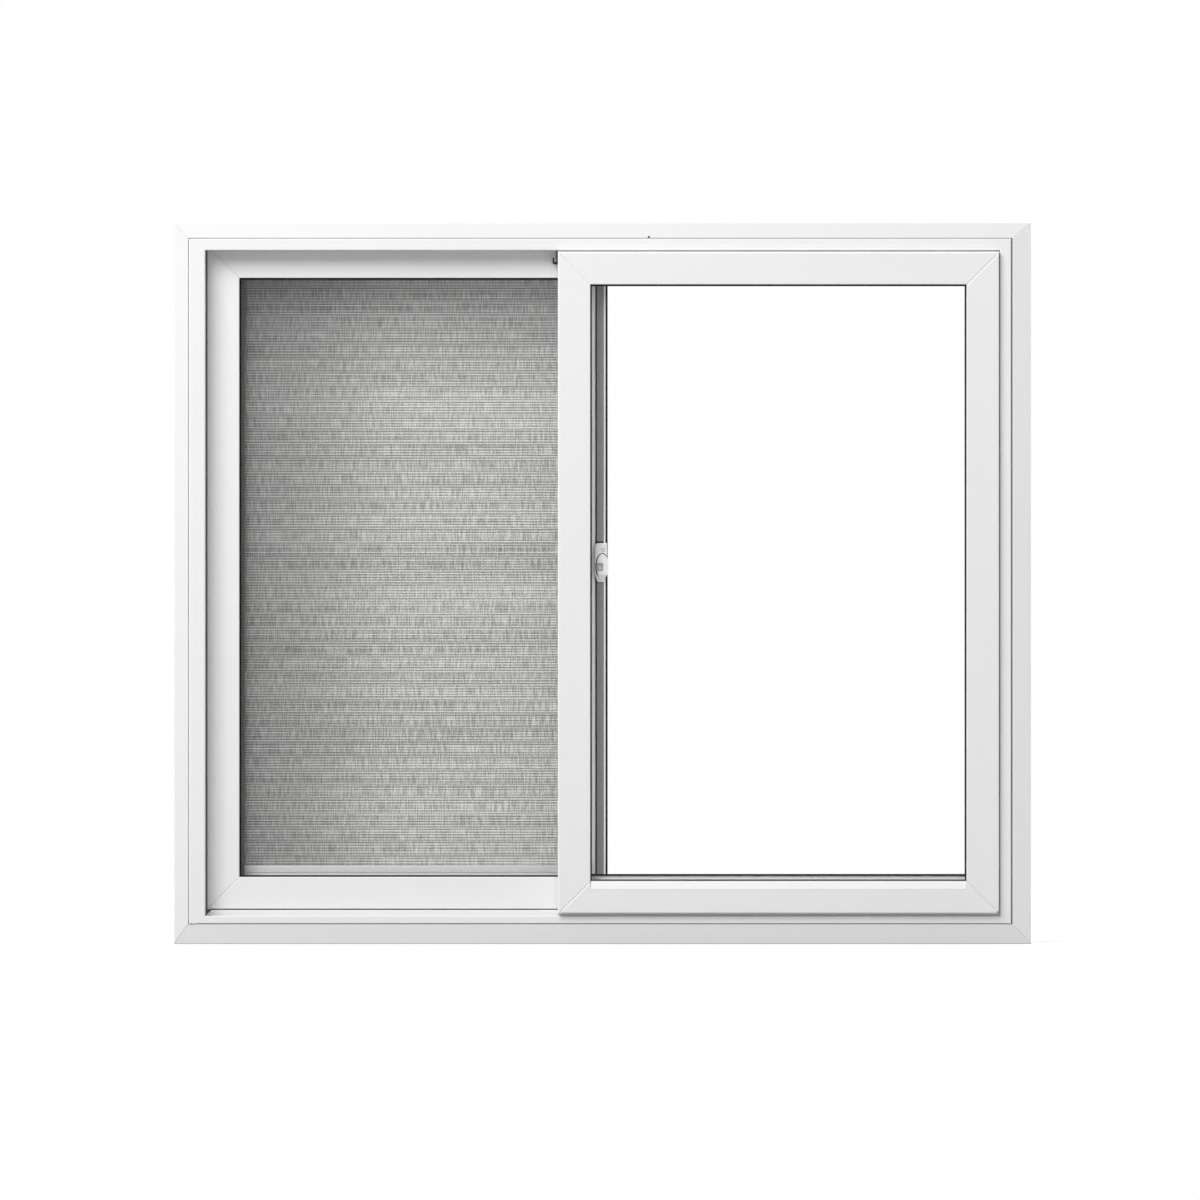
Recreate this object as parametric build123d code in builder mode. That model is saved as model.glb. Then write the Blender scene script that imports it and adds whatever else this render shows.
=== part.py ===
from build123d import *

import os
from dataclasses import dataclass

# Two-sash horizontal sliding window of white uPVC, 1200 by 1010 mm, with a roller blind on its rear sash.
# X runs to the right as one looks at the front, Y to the back and Z up. The origin is on the floor, below
# the middle of the window. A depth is measured back from the face of the sliding sash, the foremost plane.

# Whole window
WIDTH = 1200.0
HEIGHT = 1010.0
DEPTH = 100.0

# Casing: the flat mitred surround, whose face falls away to the outside
CASING_LEFT = 20.0
CASING_RIGHT = 25.8
CASING_TOP = 21.6
CASING_BOTTOM = 27.9
CASING_RIM_DEPTH = 13.6
CASING_FALL = 2.5
CASING_BACK_DEPTH = 16.0
CASING_EDGE = 0.8
CASING_JOINT = 0.6
CASING_JOINT_RIGHT = 2.1
CASING_WELD = 0.9
CASING_WELD_CUT = 0.5

# Frame: a raised face band, two sliding tracks and a fixing leg behind them
LIP_JAMB = 43.4
LIP_HEAD = 38.5
LIP_SILL = 39.3
BAND_DEPTH = 9.5
BAND_EDGE = 1.2
LIP_THICKNESS = 3.0
FRONT_WALL = 2.5
FRONT_WALL_STEP = 1.0
FRONT_WALL_BACK_DEPTH = 19.0
DIVIDER_DEPTH = 37.0
DIVIDER_THICKNESS = 4.0
DIVIDER_RISE_SILL = 7.4
REAR_LIP_DEPTH = 79.0
REAR_LIP_THICKNESS = 4.5
FIXING_LEG = 20.0
FLOOR_JAMB = 24.0
FLOOR_HEAD = 14.0
FLOOR_SILL = 22.0
RAIL_THICKNESS = 3.0
RAIL_ENTRY = 4.0
KEYWAY_WIDTH = 6.0
KEYWAY_CUT = 2.5
KEYWAY_FRONT_DEPTH = 20.0
KEYWAY_REAR_SETBACK = 16.0

# Screw holes through each jamb, in the track that stays empty on that side
FIXING_HOLE_RADIUS = 3.25
FIXING_HOLE_SPACING = 380.0
FIXING_HOLE_COUNT = 3
LEFT_HOLE_DEPTH = 31.0
RIGHT_HOLE_DEPTH = 52.0

# Sash profile, the same for both sashes
SASH_FACE = 45.5
SASH_THICKNESS = 34.0
SASH_EDGE = 2.2
SASH_INNER_EDGE = 1.2
TONGUE = 10.5
TONGUE_SETBACK = 14.0
GROOVE_WIDTH = 12.0
GROOVE_CUT = 16.0
GROOVE_SETBACK = 18.0
SASH_LIP = 5.0
REBATE = 12.0
CORNER_RADIUS = 4.0

# The groove that cleaning leaves along a sash's welded mitres: open on two of them, faint on the others
OPEN_WELD = 2.3
OPEN_WELD_CUT = 0.9
FAINT_WELD = 0.9
FAINT_WELD_CUT = 0.5

# How the sashes stand in the frame
REAR_SASH_DEPTH = 42.0
SASH_GAP_SIDE = 1.6
SASH_GAP_TOP = 2.6
SASH_GAP_BOTTOM = 3.5
REAR_RISE_TOP = 10.1
REAR_RISE_BOTTOM = 4.8
MEETING_X = -29.0
MEETING_OVERLAP = 67.0

# Sealed glass units with their gaskets and beads
GASKET = 2.0
GASKET_SHOW = 2.0
GASKET_COVER = 6.0
PANE = 4.0
AIR_SPACE = 10.0
PANE_CLEARANCE = 2.0
SPACER_WIDTH = 7.0
SPACER_INSET = 0.6
BEAD_CLEARANCE = 0.2
BEAD_NOSE = 2.4
BEAD_FLAT = 5.0
TALL_BEAD_RISE = 7.3
TALL_BEAD_LAP = 0.6
WEATHER_BEAD_HEIGHT = 11.4
WEATHER_BEAD_FALL = 3.8

# Rollers that carry the sashes on the sill's rails
WHEEL_RADIUS = 5.5
WHEEL_WIDTH = 6.0
WHEEL_LIFT = 0.1
CARRIAGE_LENGTH = 60.0
CARRIAGE_HEIGHT = 8.4
CARRIAGE_PLAY = 0.3
CARRIAGE_INSET = 90.0

# Interlock channel on the rear meeting stile with a fin and a strip in it, its seals, and the hooked cap
INTERLOCK_WIDTH = 19.0
INTERLOCK_BASE = 1.5
INTERLOCK_LEG = 3.4
INTERLOCK_REACH = 4.5
INTERLOCK_LIP = 2.2
INTERLOCK_LIP_REACH = 2.0
INTERLOCK_INSET = 0.3
FIN_GAP = 1.4
FIN_WIDTH = 2.0
STRIP_THICKNESS = 1.0
STRIP_PLAY = 0.1
SEAL_WIDTH = 2.7
SEAL_DEPTH_TO = 50.0
INTERLOCK_END_GAP = 4.0
CAP_THICKNESS = 2.5
CAP_REACH = 7.5
CAP_TAB = 8.0
CAP_TAB_HEIGHT = 15.0
CAP_LEG = 2.0
CAP_HEIGHT = 18.0
CAP_HOOK = 9.0
CAP_WIRE = 3.0
CAP_RADIUS = 2.4
CAP_HEAD_GAP = 1.0

# Latch
LATCH_SIDE_GAP = 0.1
LATCH_WIDTH = 17.5
LATCH_HEIGHT = 55.0
LATCH_THICKNESS = 7.5
LATCH_CENTRE_Z = 534.0
LATCH_SHOULDER = 6.0
LATCH_TAPER = 4.0
LATCH_TAIL = 14.0
LATCH_TAIL_FALL = 5.0
LATCH_EDGE = 1.0
LATCH_PAD_SHOW_TOP = 2.3
LATCH_PAD_SHOW_FOOT = 0.8
LATCH_POCKET = 4.6
LATCH_POCKET_CUT = 1.0
LATCH_POCKET_X = 3.6
LATCH_POCKET_Z = 17.6
TURN_WIDTH = 17.0
TURN_HEIGHT = 35.0
TURN_THICKNESS = 4.0
TURN_OFFSET_X = 2.6
TURN_DROP = 5.5
TURN_SLOPE = 6.5
TURN_FALL = 3.4
TURN_GROOVE = 1.4
TURN_GROOVE_CUT = 2.4
SCOOP_WIDTH = 8.0
SCOOP_HEIGHT = 10.6
SCOOP_CUT = 6.4
SCOOP_X = 3.6
SCOOP_Z = 0.6

# Roller blind on the back of the rear sash
CASSETTE_HEIGHT = 35.0
CASSETTE_DEPTH = 21.0
CASSETTE_OVERHANG = 36.0
CASSETTE_ROUND = 9.0
CASSETTE_LIFT = 1.0
CASSETTE_SLOT_CUT = 8.0
END_CAP = 3.0
GUIDE_SHOW = 6.2
GUIDE_WIDTH = 13.0
GUIDE_DEPTH = 14.0
GUIDE_SLOT = 8.0
GUIDE_SLOT_CUT = 9.0
GUIDE_DROP = 8.0
FABRIC_THICKNESS = 1.2
FABRIC_DEPTH = 84.0
FABRIC_ENTRY = 7.0
FABRIC_PLAY = 0.3
HEM_BAR_HEIGHT = 10.5
HEM_BAR_THICKNESS = 7.0
HEM_BAR_ROUND = 1.5
HEM_BAR_GAP = 4.9
HEM_POCKET = 6.0

PARTS = "parts"


@dataclass
class Rect:
    """An upright rectangle, seen from the front."""

    left: float
    right: float
    bottom: float
    top: float

    def grown(self, by):
        """The rectangle with each side moved outwards."""
        return Rect(self.left - by, self.right + by, self.bottom - by, self.top + by)

    @property
    def width(self):
        return self.right - self.left

    @property
    def height(self):
        return self.top - self.bottom

    @property
    def middle(self):
        return (self.left + self.right) / 2, (self.bottom + self.top) / 2

    def length(self, side):
        """How long one side is."""
        return self.height if side in ("left", "right") else self.width


def y_at(depth):
    """The Y coordinate of a depth behind the sliding sash's face."""
    return depth - DEPTH / 2


def keep(piece, name):
    """Labels a finished piece and writes its STEP file."""
    piece.part.label = name
    export_step(piece.part, os.path.join(PARTS, name + ".step"))


def front_plane(depth):
    """Upright sketch plane at a depth, seen from the front. Extruding by less than nothing goes back."""
    return Plane(origin=(0, y_at(depth), 0), x_dir=(1, 0, 0), z_dir=(0, -1, 0))


def section_plane(side, rect):
    """Sketch plane square to one side of a rectangle: its X runs inwards from that side, its Y is depth."""
    x, z = rect.middle
    front = y_at(0)
    return {
        "left": Plane(origin=(rect.left, front, z), x_dir=(1, 0, 0), z_dir=(0, 0, 1)),
        "right": Plane(origin=(rect.right, front, z), x_dir=(-1, 0, 0), z_dir=(0, 0, -1)),
        "bottom": Plane(origin=(x, front, rect.bottom), x_dir=(0, 0, 1), z_dir=(-1, 0, 0)),
        "top": Plane(origin=(x, front, rect.top), x_dir=(0, 0, -1), z_dir=(1, 0, 0)),
    }[side]


def corner_planes(side, outer, inner):
    """The two mitre planes of one side, from the outer to the inner corners, facing the side's middle."""
    ends = {
        "left": [("left", "bottom"), ("left", "top")],
        "right": [("right", "bottom"), ("right", "top")],
        "bottom": [("left", "bottom"), ("right", "bottom")],
        "top": [("left", "top"), ("right", "top")],
    }[side]
    middle_x, middle_z = outer.middle
    along = Vector(0, 0, 1) if side in ("left", "right") else Vector(1, 0, 0)
    planes = []
    for across, up in ends:
        far = Vector(getattr(outer, across), 0, getattr(outer, up))
        near = Vector(getattr(inner, across), 0, getattr(inner, up))
        normal = (near - far).cross(Vector(0, 1, 0))
        inwards = Vector(middle_x, 0, middle_z) - far
        if normal.dot(along) * inwards.dot(along) < 0:
            normal = normal * -1
        planes.append(Plane(origin=near, x_dir=(0, 1, 0), z_dir=normal))
    return planes


def mitred_bar(section, rounds, side, edge, outer, inner):
    """A bar of one section along a side of a rectangle, sawn to the mitres of outer and inner.

    section holds (inwards, depth) points from edge, and rounds gives some of those points a radius.
    """
    with BuildPart() as bar:
        with BuildSketch(section_plane(side, edge)) as profile:
            with BuildLine():
                Polyline(*section, close=True)
            make_face()
            for point, radius in rounds:
                fillet(profile.vertices().sort_by_distance((point[0], point[1], 0))[0], radius)
        extrude(amount=edge.length(side) / 2, both=True)
        for plane in corner_planes(side, outer, inner):
            split(bisect_by=plane, keep=Keep.TOP)
    return bar


def weld_groove(side, corner, outer, inner, depths, width, cut):
    """What a groove along one mitre takes off the bar on one side of it.

    corner names the mitre, as ("left", "top"), and depths are those of the face outside and inside.
    """
    across, up = corner
    far = Vector(getattr(outer, across), y_at(depths[0]), getattr(outer, up))
    near = Vector(getattr(inner, across), y_at(depths[1]), getattr(inner, up))
    along = (far - near).normalized()
    middle_x, middle_z = outer.middle
    bar_x = getattr(outer, side) if side in ("left", "right") else middle_x
    bar_z = getattr(outer, side) if side in ("bottom", "top") else middle_z
    sideways = along.cross(Vector(0, 1, 0))
    if sideways.dot(Vector(bar_x, 0, bar_z) - Vector(near.X, 0, near.Z)) < 0:
        sideways = sideways * -1
    with BuildPart() as groove:
        with BuildSketch(Plane(origin=near - along * width, x_dir=sideways, z_dir=along)):
            with BuildLine():
                Polyline((0, -cut), (width, 0), (0, cut), close=True)
            make_face()
        extrude(amount=(far - near).length + 2 * width)
    return groove


def grooved(bar, grooves):
    """A bar with its weld grooves taken off."""
    with BuildPart() as made:
        add(bar.part)
        for groove in grooves:
            add(groove.part, mode=Mode.SUBTRACT)
    return made


SIDES = ("left", "right", "bottom", "top")

window = Rect(-WIDTH / 2, WIDTH / 2, 0.0, HEIGHT)
casing_face = {"left": CASING_LEFT, "right": CASING_RIGHT, "bottom": CASING_BOTTOM, "top": CASING_TOP}
casing_joint = {side: CASING_JOINT for side in SIDES} | {"right": CASING_JOINT_RIGHT}
lip = {"left": LIP_JAMB, "right": LIP_JAMB, "bottom": LIP_SILL, "top": LIP_HEAD}
track_floor = {"left": FLOOR_JAMB, "right": FLOOR_JAMB, "bottom": FLOOR_SILL, "top": FLOOR_HEAD}
divider = lip | {"bottom": LIP_SILL + DIVIDER_RISE_SILL}


def inside(rect, widths):
    """The rectangle left when each side's own width is taken off."""
    return Rect(
        rect.left + widths["left"],
        rect.right - widths["right"],
        rect.bottom + widths["bottom"],
        rect.top - widths["top"],
    )


casing_opening = inside(window, casing_face)
band = inside(casing_opening, casing_joint)
frame_opening = inside(window, lip)

# Where the sashes stand: first their visible glass openings, then their outer edges
front_glass = Rect(
    MEETING_X - MEETING_OVERLAP / 2 + SASH_FACE,
    frame_opening.right - SASH_GAP_SIDE - SASH_FACE,
    frame_opening.bottom + SASH_GAP_BOTTOM + SASH_FACE,
    frame_opening.top - SASH_GAP_TOP - SASH_FACE,
)
rear_glass = Rect(
    frame_opening.left + SASH_GAP_SIDE + SASH_FACE,
    MEETING_X + MEETING_OVERLAP / 2 - SASH_FACE,
    front_glass.bottom + REAR_RISE_BOTTOM,
    front_glass.top + REAR_RISE_TOP,
)
front_sash = front_glass.grown(SASH_FACE + TONGUE)
front_sash.left += TONGUE
rear_sash = rear_glass.grown(SASH_FACE + TONGUE)
rear_sash.right -= TONGUE
front_sash_back = SASH_THICKNESS
rear_sash_back = REAR_SASH_DEPTH + SASH_THICKNESS

# A rail or rib of the frame runs in the middle of each sash's outer groove
rail_setback = GROOVE_SETBACK + GROOVE_WIDTH / 2
front_rib = {side: abs(getattr(window, side) - getattr(front_sash, side)) + RAIL_ENTRY for side in SIDES}
rear_rib = {side: abs(getattr(window, side) - getattr(rear_sash, side)) + RAIL_ENTRY for side in SIDES}
front_rib["left"] = front_rib["right"]
rear_rib["right"] = rear_rib["left"]


def keyway(depth):
    """A groove along the outer face of the frame for fixing lugs, from the back to the front."""
    return [(0, depth + KEYWAY_WIDTH), (KEYWAY_CUT, depth + KEYWAY_WIDTH), (KEYWAY_CUT, depth), (0, depth)]


def rib(floor, top, depth):
    """A rail that stands on a track's floor, from its front to its back."""
    near = depth - RAIL_THICKNESS / 2
    far = depth + RAIL_THICKNESS / 2
    return [(floor, near), (top, near), (top, far), (floor, far)]


def frame_section(side):
    """The frame's profile for one side, as (inwards, depth) points, with its rounded edges."""
    band_start = casing_face[side] + casing_joint[side]
    floor = track_floor[side]
    shoulder = max(band_start + FRONT_WALL, floor + FRONT_WALL_STEP)
    divider_back = DIVIDER_DEPTH + DIVIDER_THICKNESS
    rear_lip_back = REAR_LIP_DEPTH + REAR_LIP_THICKNESS
    points = [
        (0, CASING_BACK_DEPTH),
        (band_start, CASING_BACK_DEPTH),
        (band_start, BAND_DEPTH),
        (lip[side], BAND_DEPTH),
        (lip[side], BAND_DEPTH + LIP_THICKNESS),
        (shoulder, BAND_DEPTH + LIP_THICKNESS),
        (shoulder, FRONT_WALL_BACK_DEPTH),
        (floor, FRONT_WALL_BACK_DEPTH),
        *rib(floor, front_rib[side], rail_setback),
        (floor, DIVIDER_DEPTH),
        (divider[side], DIVIDER_DEPTH),
        (divider[side], divider_back),
        (floor, divider_back),
        *rib(floor, rear_rib[side], REAR_SASH_DEPTH + rail_setback),
        (floor, REAR_LIP_DEPTH),
        (divider[side], REAR_LIP_DEPTH),
        (divider[side], rear_lip_back),
        (FIXING_LEG, rear_lip_back),
        (FIXING_LEG, DEPTH),
        (0, DEPTH),
        *keyway(DEPTH - KEYWAY_REAR_SETBACK),
        *keyway(KEYWAY_FRONT_DEPTH),
    ]
    rounds = [
        ((band_start, BAND_DEPTH), BAND_EDGE),
        ((lip[side], BAND_DEPTH), BAND_EDGE),
        ((divider[side], DIVIDER_DEPTH), BAND_EDGE),
        ((divider[side], rear_lip_back), BAND_EDGE),
    ]
    return points, rounds


def casing_section(side):
    """The casing's profile for one side: a strip whose face falls away to the outside."""
    width = casing_face[side]
    crest = CASING_RIM_DEPTH - CASING_FALL
    points = [(0, CASING_BACK_DEPTH), (0, CASING_RIM_DEPTH), (width, crest), (width, CASING_BACK_DEPTH)]
    return points, [((0, CASING_RIM_DEPTH), CASING_EDGE), ((width, crest), CASING_EDGE)]


def sash_section(depth, tongue):
    """The sash profile at a depth: with the tongue and groove that run in the frame, or plain without."""
    back = depth + SASH_THICKNESS
    lip_back = depth + SASH_LIP
    width = tongue + SASH_FACE
    rebate_floor = width - REBATE
    points = [(width, depth), (width, lip_back), (rebate_floor, lip_back), (rebate_floor, back)]
    if tongue:
        groove = depth + GROOVE_SETBACK
        points += [
            (0, back),
            (0, groove + GROOVE_WIDTH),
            (GROOVE_CUT, groove + GROOVE_WIDTH),
            (GROOVE_CUT, groove),
            (0, groove),
            (0, depth + TONGUE_SETBACK),
            (tongue, depth + TONGUE_SETBACK),
            (tongue, depth),
        ]
    else:
        points += [(0, back), (0, depth)]
    return points, [((tongue, depth), SASH_EDGE), ((width, depth), SASH_INNER_EDGE)]


def ring(outer, inner, depth, thickness):
    """A flat upright ring between two rectangles."""
    with BuildPart() as made:
        with BuildSketch(front_plane(depth)):
            with Locations(outer.middle):
                Rectangle(outer.width, outer.height)
            with Locations(inner.middle):
                Rectangle(inner.width, inner.height, mode=Mode.SUBTRACT)
        extrude(amount=-thickness)
    return made


def plate(rect, depth, thickness):
    """A flat upright plate."""
    with BuildPart() as made:
        with BuildSketch(front_plane(depth)):
            with Locations(rect.middle):
                Rectangle(rect.width, rect.height)
        extrude(amount=-thickness)
    return made


os.makedirs(PARTS, exist_ok=True)

# Casing
bar_names = {"left": "jamb_left", "right": "jamb_right", "bottom": "sill", "top": "head"}
casing_depths = (CASING_RIM_DEPTH, CASING_RIM_DEPTH - CASING_FALL)
for side, name in bar_names.items():
    points, rounds = casing_section(side)
    casing_bar = mitred_bar(points, rounds, side, window, window, casing_opening)
    corners = [(side, up) for up in ("bottom", "top")] if side in ("left", "right") else []
    welds = [
        weld_groove(side, corner, window, casing_opening, casing_depths, CASING_WELD, CASING_WELD_CUT)
        for corner in corners
    ]
    keep(grooved(casing_bar, welds), "casing_" + name)

# Frame: each bar is cut back to the casing in front, and each jamb has its fixing holes
hole_depth = {"left": LEFT_HOLE_DEPTH, "right": RIGHT_HOLE_DEPTH}
for side, name in bar_names.items():
    points, rounds = frame_section(side)
    bar = mitred_bar(points, rounds, side, window, window, frame_opening)
    with BuildPart() as frame_bar:
        add(bar.part)
        with BuildSketch(front_plane(0.0)):
            with Locations(window.middle):
                Rectangle(window.width, window.height)
            with Locations(band.middle):
                Rectangle(band.width, band.height, mode=Mode.SUBTRACT)
        extrude(amount=-CASING_BACK_DEPTH, mode=Mode.SUBTRACT)
        if side in hole_depth:
            with BuildSketch(Plane.YZ.offset(getattr(window, side))):
                with Locations((y_at(hole_depth[side]), HEIGHT / 2)):
                    with GridLocations(1, FIXING_HOLE_SPACING, 1, FIXING_HOLE_COUNT):
                        Circle(FIXING_HOLE_RADIUS)
            extrude(amount=FLOOR_JAMB + RAIL_THICKNESS, both=True, mode=Mode.SUBTRACT)
    keep(frame_bar, "frame_" + name)


def sash_bars(opening, sash, depth, meeting_side):
    """The four mitred bars of a sash, by side. The bar on the meeting side has no tongue."""
    open_weld = (OPEN_WELD, OPEN_WELD_CUT)
    faint_weld = (FAINT_WELD, FAINT_WELD_CUT)
    welds = {
        "left": [(("left", "top"), faint_weld)],
        "right": [(("right", "top"), open_weld), (("right", "bottom"), faint_weld)],
        "bottom": [(("left", "bottom"), open_weld)],
        "top": [],
    }
    face = opening.grown(SASH_FACE)
    bars = {}
    for side in SIDES:
        tongue = 0.0 if side == meeting_side else TONGUE
        points, rounds = sash_section(depth, tongue)
        bar = mitred_bar(points, rounds, side, sash, face, opening)
        depths = (depth, depth)
        bars[side] = grooved(
            bar, [weld_groove(side, corner, face, opening, depths, *size) for corner, size in welds[side]]
        )
    return bars


def corner_offcut(face):
    """What comes off the front sash's lower right corner when it is rounded."""
    x = face.right
    z = face.bottom
    with BuildPart() as offcut:
        with BuildSketch(front_plane(0.0)):
            with BuildLine():
                RadiusArc((x - CORNER_RADIUS, z), (x, z + CORNER_RADIUS), CORNER_RADIUS)
                Line((x, z + CORNER_RADIUS), (x, z))
                Line((x, z), (x - CORNER_RADIUS, z))
            make_face()
        extrude(amount=-TONGUE_SETBACK)
    return offcut


# Sliding sash in front, on the right
front_bars = sash_bars(front_glass, front_sash, 0.0, "left")
rounded_off = corner_offcut(front_glass.grown(SASH_FACE))
bead_foot = front_glass.bottom - WEATHER_BEAD_HEIGHT
bead_seat = Rect(front_glass.left, front_glass.right, bead_foot, front_glass.bottom)

keep(front_bars["left"], "front_sash_meeting_stile")
keep(front_bars["top"], "front_sash_top_rail")

with BuildPart() as front_outer_stile:
    add(front_bars["right"].part)
    add(rounded_off.part, mode=Mode.SUBTRACT)
keep(front_outer_stile, "front_sash_outer_stile")

with BuildPart() as front_bottom_rail:
    add(front_bars["bottom"].part)
    add(rounded_off.part, mode=Mode.SUBTRACT)
    with BuildSketch(front_plane(0.0)):
        with Locations(bead_seat.middle):
            Rectangle(bead_seat.width, bead_seat.height)
    extrude(amount=-SASH_LIP, mode=Mode.SUBTRACT)
keep(front_bottom_rail, "front_sash_bottom_rail")

# The sloping bead along the foot of the front pane, which sheds rain
with BuildPart() as weather_bead:
    with BuildSketch(section_plane("bottom", bead_seat)):
        with BuildLine():
            Polyline(
                (BEAD_CLEARANCE, SASH_LIP),
                (BEAD_CLEARANCE, 0),
                (WEATHER_BEAD_HEIGHT, WEATHER_BEAD_FALL),
                (WEATHER_BEAD_HEIGHT, SASH_LIP),
                close=True,
            )
        make_face()
    extrude(amount=bead_seat.width / 2 - BEAD_CLEARANCE, both=True)
keep(weather_bead, "front_sash_weather_bead")

# Fixed sash behind, on the left
for side, bar in sash_bars(rear_glass, rear_sash, REAR_SASH_DEPTH, "right").items():
    ends = {"left": "outer_stile", "right": "meeting_stile", "bottom": "bottom_rail", "top": "top_rail"}
    keep(bar, "rear_sash_" + ends[side])


def bead_points(sash_depth, rise):
    """A glazing bead's section behind the glass: from the rebate's floor inwards, with a sloping nose."""
    start = sash_depth + SASH_LIP + 2 * GASKET + 2 * PANE + AIR_SPACE
    back = sash_depth + SASH_THICKNESS
    width = REBATE + rise
    return [
        (BEAD_CLEARANCE, start),
        (width, start),
        (width, start + BEAD_NOSE),
        (BEAD_FLAT + rise, back),
        (BEAD_CLEARANCE, back),
    ]


def beads(sides, edge, sash_depth, rises):
    """The glazing beads along two sides of a rectangle, cut square at its ends."""
    with BuildPart() as pair:
        for side in sides:
            with BuildSketch(section_plane(side, edge)):
                with BuildLine():
                    Polyline(*bead_points(sash_depth, rises[side]), close=True)
                make_face()
            extrude(amount=edge.length(side) / 2, both=True)
    return pair


def glaze(name, opening, sash_depth, rise, lap):
    """The glass unit of one sash with its gaskets and beads.

    rise makes the bottom bead taller, and lap is how far the back gasket reaches down in front of it.
    """
    edge = opening.grown(REBATE)
    pane_edge = opening.grown(REBATE - PANE_CLEARANCE)
    spacer_edge = pane_edge.grown(-SPACER_INSET)
    gasket_edge = opening.grown(GASKET_COVER)
    gasket_inside = opening.grown(-GASKET_SHOW)
    bead_top = opening.bottom + rise
    back_edge = Rect(gasket_edge.left, gasket_edge.right, bead_top - lap, gasket_edge.top)
    back_inside = Rect(gasket_inside.left, gasket_inside.right, bead_top + GASKET_SHOW, gasket_inside.top)
    lip_back = sash_depth + SASH_LIP
    front_pane = lip_back + GASKET
    spacer = front_pane + PANE
    back_pane = spacer + AIR_SPACE
    back_gasket = back_pane + PANE
    rises = {side: 0.0 for side in SIDES} | {"bottom": rise}
    level = Rect(edge.left + BEAD_CLEARANCE, edge.right - BEAD_CLEARANCE, edge.bottom, edge.top)
    upright = Rect(edge.left, edge.right, bead_top + BEAD_CLEARANCE, opening.top - BEAD_CLEARANCE)

    keep(ring(gasket_edge, gasket_inside, lip_back, GASKET), name + "_front_gasket")
    keep(plate(pane_edge, front_pane, PANE), name + "_front_pane")
    keep(ring(spacer_edge, spacer_edge.grown(-SPACER_WIDTH), spacer, AIR_SPACE), name + "_spacer")
    keep(plate(pane_edge, back_pane, PANE), name + "_back_pane")
    keep(ring(back_edge, back_inside, back_gasket, GASKET), name + "_back_gasket")
    keep(beads(("bottom", "top"), level, sash_depth, rises), name + "_level_beads")
    keep(beads(("left", "right"), upright, sash_depth, rises), name + "_upright_beads")


glaze("front_sash", front_glass, 0.0, TALL_BEAD_RISE, TALL_BEAD_LAP)
glaze("rear_sash", rear_glass, REAR_SASH_DEPTH, 0.0, GASKET_COVER)


def rollers(sash, sash_depth):
    """The two roller carriages in a sash's bottom groove, their wheels on the sill's rail."""
    rail_top = sash.bottom + RAIL_ENTRY
    groove_top = sash.bottom + GROOVE_CUT
    middle_y = y_at(sash_depth + rail_setback)
    with BuildPart() as pair:
        for x in (sash.left + CARRIAGE_INSET, sash.right - CARRIAGE_INSET):
            with Locations((x, middle_y, groove_top - CARRIAGE_HEIGHT / 2)):
                Box(CARRIAGE_LENGTH, GROOVE_WIDTH - 2 * CARRIAGE_PLAY, CARRIAGE_HEIGHT)
            with Locations((x, middle_y, rail_top + WHEEL_LIFT + WHEEL_RADIUS)):
                Cylinder(WHEEL_RADIUS, WHEEL_WIDTH, rotation=(90, 0, 0))
    return pair


keep(rollers(front_sash, 0.0), "front_sash_rollers")
keep(rollers(rear_sash, REAR_SASH_DEPTH), "rear_sash_rollers")

# Interlock channel on the face of the rear meeting stile: a tall leg on the left, a low lip on the right
channel_right = rear_sash.right - INTERLOCK_INSET
channel_left = channel_right - INTERLOCK_WIDTH
channel_floor = REAR_SASH_DEPTH - INTERLOCK_BASE
channel_bottom = window.bottom + divider["bottom"] + INTERLOCK_END_GAP
channel_top = frame_opening.top - INTERLOCK_END_GAP
channel_leg_side = channel_left + INTERLOCK_LEG
channel_lip_side = channel_right - INTERLOCK_LIP
channel_lip_depth = channel_floor - INTERLOCK_LIP_REACH
floor_plane = Plane.XY.offset(channel_bottom)

with BuildPart() as interlock:
    with BuildSketch(floor_plane):
        with BuildLine():
            Polyline(
                (channel_left, y_at(REAR_SASH_DEPTH)),
                (channel_left, y_at(channel_floor - INTERLOCK_REACH)),
                (channel_leg_side, y_at(channel_floor - INTERLOCK_REACH)),
                (channel_leg_side, y_at(channel_floor)),
                (channel_lip_side, y_at(channel_floor)),
                (channel_lip_side, y_at(channel_lip_depth)),
                (channel_right, y_at(channel_lip_depth)),
                (channel_right, y_at(REAR_SASH_DEPTH)),
                close=True,
            )
        make_face()
    extrude(amount=channel_top - channel_bottom)
keep(interlock, "meeting_interlock")

# A grey strip fills the channel's floor from the seal's fin to the low lip
fin_left = channel_leg_side + FIN_GAP
strip_left = fin_left + FIN_WIDTH
strip_right = channel_lip_side - STRIP_PLAY
strip_face = channel_floor - STRIP_THICKNESS
strip_middle_y = y_at(channel_floor - STRIP_THICKNESS / 2)
with BuildPart() as strip:
    with BuildSketch(floor_plane):
        with Locations(((strip_left + strip_right) / 2, strip_middle_y)):
            Rectangle(strip_right - strip_left, STRIP_THICKNESS)
    extrude(amount=channel_top - channel_bottom)
keep(strip, "meeting_strip")

# Black seals: one along the edge of the rear meeting stile, and a flat fin in the channel
with BuildPart() as seal:
    with BuildSketch(floor_plane):
        with Locations((rear_sash.right + SEAL_WIDTH / 2, y_at((channel_lip_depth + SEAL_DEPTH_TO) / 2))):
            Rectangle(SEAL_WIDTH, SEAL_DEPTH_TO - channel_lip_depth)
        with Locations((fin_left + FIN_WIDTH / 2, strip_middle_y)):
            Rectangle(FIN_WIDTH, STRIP_THICKNESS)
    extrude(amount=channel_top - channel_bottom)
keep(seal, "meeting_seal")

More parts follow.
